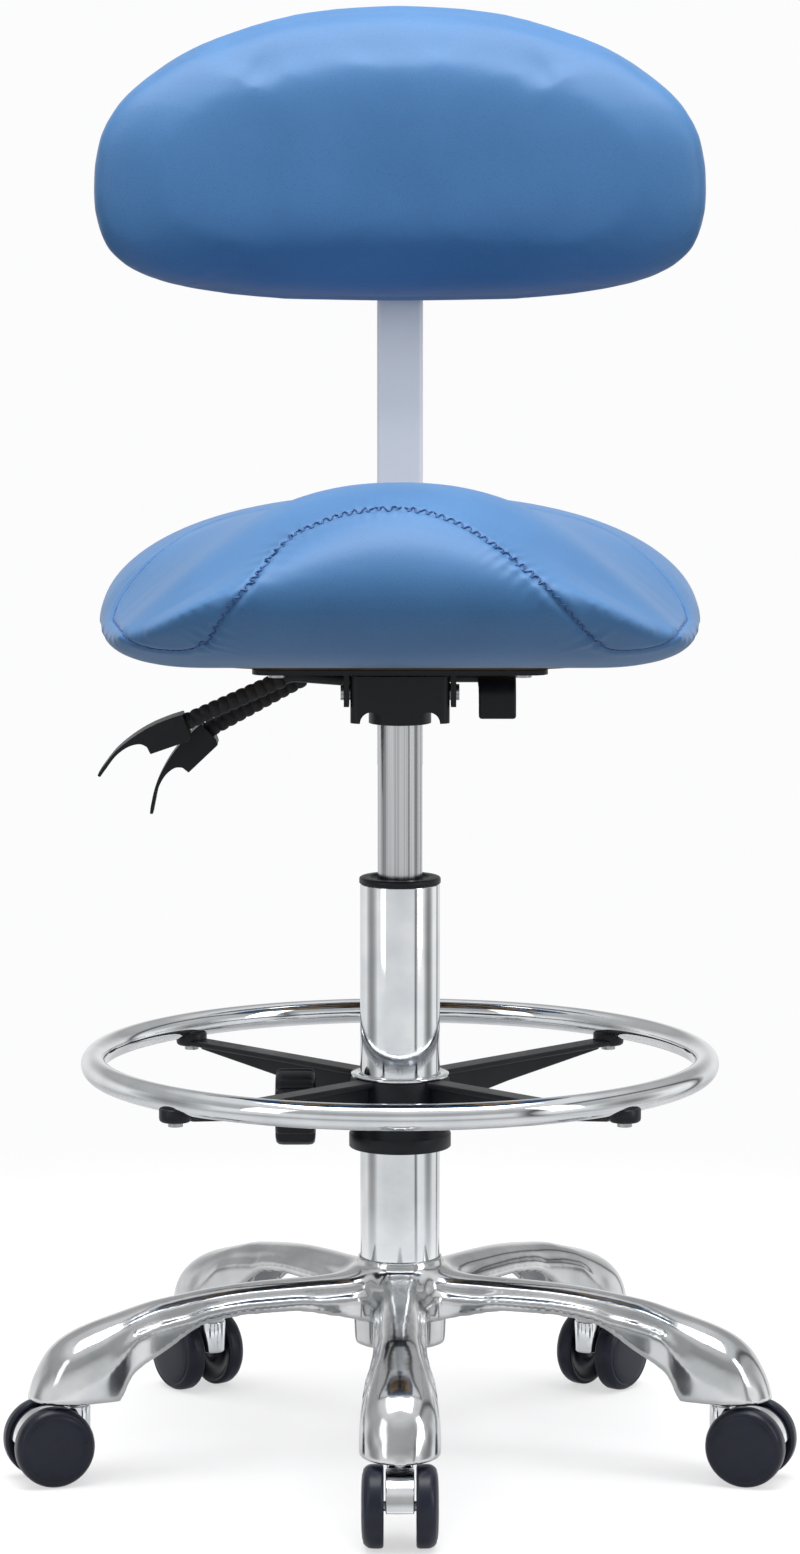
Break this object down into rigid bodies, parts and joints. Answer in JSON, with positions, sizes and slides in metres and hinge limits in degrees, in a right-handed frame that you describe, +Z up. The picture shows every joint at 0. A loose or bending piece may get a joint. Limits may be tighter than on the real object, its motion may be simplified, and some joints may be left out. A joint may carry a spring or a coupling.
{
  "type": "dentist stool",
  "caption": "Saddle-seat work stool with gas lift, padded backrest, sliding foot ring, hand levers and a star base on twin-wheel casters.",
  "frame": {"origin": "on the floor, under the axis of the lift column", "axes": "+Z up, the sitter faces -Y, +X to the right as seen from the front"},
  "size_m": [0.494, 0.4942, 0.911],
  "materials": {
    "cast_aluminium": "polished",
    "chrome_tube": "bright plated",
    "lift_steel": "ground",
    "steel_parts": "zinc plated",
    "bar_steel": "silver powder coat",
    "black_steel": "powder coat",
    "black_plastic": "moulded",
    "sleeve_rubber": "ribbed",
    "wheel_plastic": "moulded",
    "hood_chrome": "bright plated",
    "blue_vinyl": "grained vinyl",
    "foam": "cut foam",
    "plywood": "raw"
  },
  "bodies": {
    "base": {"base_casting": "cast_aluminium", "column_tube": "chrome_tube", "column_bush": "black_plastic", "thrust_bearing": "steel_parts"},
    "rod": {"piston_rod": "steel_parts"},
    "lift": {"pressure_tube": "lift_steel", "mech_housing": "black_steel", "mech_pins": "steel_parts"},
    "release_pin": {"release_button": "steel_parts"},
    "height_lever": {"height_lever_rod": "black_steel", "height_lever_sleeve": "sleeve_rubber", "height_lever_paddle": "black_plastic"},
    "tilt_lever": {"tilt_lever_rod": "black_steel", "tilt_lever_sleeve": "sleeve_rubber", "tilt_lever_paddle": "black_plastic"},
    "back_lever": {"back_lever_rod": "black_steel", "back_lever_grip": "black_plastic"},
    "seat": {"seat_plate": "black_steel", "seat_pan": "plywood", "seat_nuts": "steel_parts", "seat_bolts": "steel_parts", "seat_foam": "foam", "seat_cover": "blue_vinyl"},
    "back_arm": {"back_arm": "black_steel"},
    "back_knob": {"back_knob": "black_plastic", "back_knob_screw": "steel_parts"},
    "backrest": {"back_bar": "bar_steel", "back_plate": "bar_steel", "back_bolts": "steel_parts", "back_board": "plywood", "back_shell": "black_plastic", "back_foam": "foam", "back_cover": "blue_vinyl"},
    "ring_carrier": {"ring_collet": "chrome_tube"},
    "foot_ring": {"ring_hub": "black_plastic", "ring_spokes": "black_steel", "foot_ring": "chrome_tube", "ring_screws": "steel_parts"},
    "ring_knob": {"ring_knob": "black_plastic", "ring_knob_screw": "steel_parts"},
    "caster_1": {"caster_1_fork": "hood_chrome", "caster_1_pins": "steel_parts"},
    "wheel_1_left": {"caster_1_wheel_left": "wheel_plastic"},
    "wheel_1_right": {"caster_1_wheel_right": "wheel_plastic"},
    "caster_2": {"caster_2_fork": "hood_chrome", "caster_2_pins": "steel_parts"},
    "wheel_2_left": {"caster_2_wheel_left": "wheel_plastic"},
    "wheel_2_right": {"caster_2_wheel_right": "wheel_plastic"},
    "caster_3": {"caster_3_fork": "hood_chrome", "caster_3_pins": "steel_parts"},
    "wheel_3_left": {"caster_3_wheel_left": "wheel_plastic"},
    "wheel_3_right": {"caster_3_wheel_right": "wheel_plastic"},
    "caster_4": {"caster_4_fork": "hood_chrome", "caster_4_pins": "steel_parts"},
    "wheel_4_left": {"caster_4_wheel_left": "wheel_plastic"},
    "wheel_4_right": {"caster_4_wheel_right": "wheel_plastic"},
    "caster_5": {"caster_5_fork": "hood_chrome", "caster_5_pins": "steel_parts"},
    "wheel_5_left": {"caster_5_wheel_left": "wheel_plastic"},
    "wheel_5_right": {"caster_5_wheel_right": "wheel_plastic"}
  },
  "joints": [
    {"name": "seat_swivel", "type": "hinge", "parent": "base", "child": "rod", "pos_m": [0, 0, 0], "axis": [0, 0, 1], "continuous": true},
    {"name": "seat_height", "type": "slide", "parent": "rod", "child": "lift", "axis": [0, 0, 1], "range_m": [-0.075, 0.1]},
    {"name": "release_press", "type": "slide", "parent": "lift", "child": "release_pin", "axis": [0, 0, -1], "range_m": [0, 0.0026]},
    {"name": "height_lever_lift", "type": "hinge", "parent": "lift", "child": "height_lever", "pos_m": [-0.024, 0, 0.49], "axis": [0, 1, 0], "range_deg": [0, 5], "stiffness_Nm_per_rad": 3, "springref_deg": -6.88},
    {"name": "tilt_lever_lift", "type": "hinge", "parent": "lift", "child": "tilt_lever", "pos_m": [-0.024, 0.028, 0.49], "axis": [0, 1, 0], "range_deg": [0, 5], "stiffness_Nm_per_rad": 3, "springref_deg": -6.88},
    {"name": "back_lever_turn", "type": "hinge", "parent": "lift", "child": "back_lever", "pos_m": [0.04, 0.01, 0.494], "axis": [1, 0, 0], "range_deg": [0, 20]},
    {"name": "seat_tilt", "type": "hinge", "parent": "lift", "child": "seat", "pos_m": [0, -0.045, 0.49], "axis": [1, 0, 0], "range_deg": [0, 9]},
    {"name": "back_tilt", "type": "hinge", "parent": "lift", "child": "back_arm", "pos_m": [0, 0.062, 0.48], "axis": [-1, 0, 0], "range_deg": [-3, 9]},
    {"name": "back_height", "type": "slide", "parent": "back_arm", "child": "backrest", "axis": [0, 0, 1], "range_m": [-0.015, 0.04]},
    {"name": "back_knob_turn", "type": "hinge", "parent": "back_arm", "child": "back_knob", "pos_m": [0, 0.22, 0.478], "axis": [0, 1, 0], "continuous": true},
    {"name": "ring_height", "type": "slide", "parent": "base", "child": "ring_carrier", "axis": [0, 0, 1], "range_m": [-0.05, 0.02]},
    {"name": "ring_turn", "type": "hinge", "parent": "ring_carrier", "child": "foot_ring", "pos_m": [0, 0, 0], "axis": [0, 0, 1], "continuous": true},
    {"name": "ring_knob_turn", "type": "hinge", "parent": "foot_ring", "child": "ring_knob", "pos_m": [-0.05, 0, 0.223], "axis": [1, 0, 0], "continuous": true},
    {"name": "caster_1_swivel", "type": "hinge", "parent": "base", "child": "caster_1", "pos_m": [0, -0.211, 0.05], "axis": [0, 0, 1], "continuous": true},
    {"name": "wheel_1_left_roll", "type": "hinge", "parent": "caster_1", "child": "wheel_1_left", "pos_m": [0, -0.229, 0.025], "axis": [1, 0, 0], "continuous": true},
    {"name": "wheel_1_right_roll", "type": "hinge", "parent": "caster_1", "child": "wheel_1_right", "pos_m": [0, -0.229, 0.025], "axis": [1, 0, 0], "continuous": true},
    {"name": "caster_2_swivel", "type": "hinge", "parent": "base", "child": "caster_2", "pos_m": [0.20067, -0.0652, 0.05], "axis": [0, 0, 1], "continuous": true},
    {"name": "wheel_2_left_roll", "type": "hinge", "parent": "caster_2", "child": "wheel_2_left", "pos_m": [0.21779, -0.07076, 0.025], "axis": [0.309, 0.9511, 0], "continuous": true},
    {"name": "wheel_2_right_roll", "type": "hinge", "parent": "caster_2", "child": "wheel_2_right", "pos_m": [0.21779, -0.07076, 0.025], "axis": [0.309, 0.9511, 0], "continuous": true},
    {"name": "caster_3_swivel", "type": "hinge", "parent": "base", "child": "caster_3", "pos_m": [0.12402, 0.1707, 0.05], "axis": [0, 0, 1], "continuous": true},
    {"name": "wheel_3_left_roll", "type": "hinge", "parent": "caster_3", "child": "wheel_3_left", "pos_m": [0.1346, 0.18526, 0.025], "axis": [-0.809, 0.5878, 0], "continuous": true},
    {"name": "wheel_3_right_roll", "type": "hinge", "parent": "caster_3", "child": "wheel_3_right", "pos_m": [0.1346, 0.18526, 0.025], "axis": [-0.809, 0.5878, 0], "continuous": true},
    {"name": "caster_4_swivel", "type": "hinge", "parent": "base", "child": "caster_4", "pos_m": [-0.12402, 0.1707, 0.05], "axis": [0, 0, 1], "continuous": true},
    {"name": "wheel_4_left_roll", "type": "hinge", "parent": "caster_4", "child": "wheel_4_left", "pos_m": [-0.1346, 0.18526, 0.025], "axis": [-0.809, -0.5878, 0], "continuous": true},
    {"name": "wheel_4_right_roll", "type": "hinge", "parent": "caster_4", "child": "wheel_4_right", "pos_m": [-0.1346, 0.18526, 0.025], "axis": [-0.809, -0.5878, 0], "continuous": true},
    {"name": "caster_5_swivel", "type": "hinge", "parent": "base", "child": "caster_5", "pos_m": [-0.20067, -0.0652, 0.05], "axis": [0, 0, 1], "continuous": true},
    {"name": "wheel_5_left_roll", "type": "hinge", "parent": "caster_5", "child": "wheel_5_left", "pos_m": [-0.21779, -0.07076, 0.025], "axis": [0.309, -0.9511, 0], "continuous": true},
    {"name": "wheel_5_right_roll", "type": "hinge", "parent": "caster_5", "child": "wheel_5_right", "pos_m": [-0.21779, -0.07076, 0.025], "axis": [0.309, -0.9511, 0], "continuous": true}
  ],
  "couplings": [
    {"joint": "release_press", "follows": "height_lever_lift", "m_per_rad": 0.028}
  ]
}
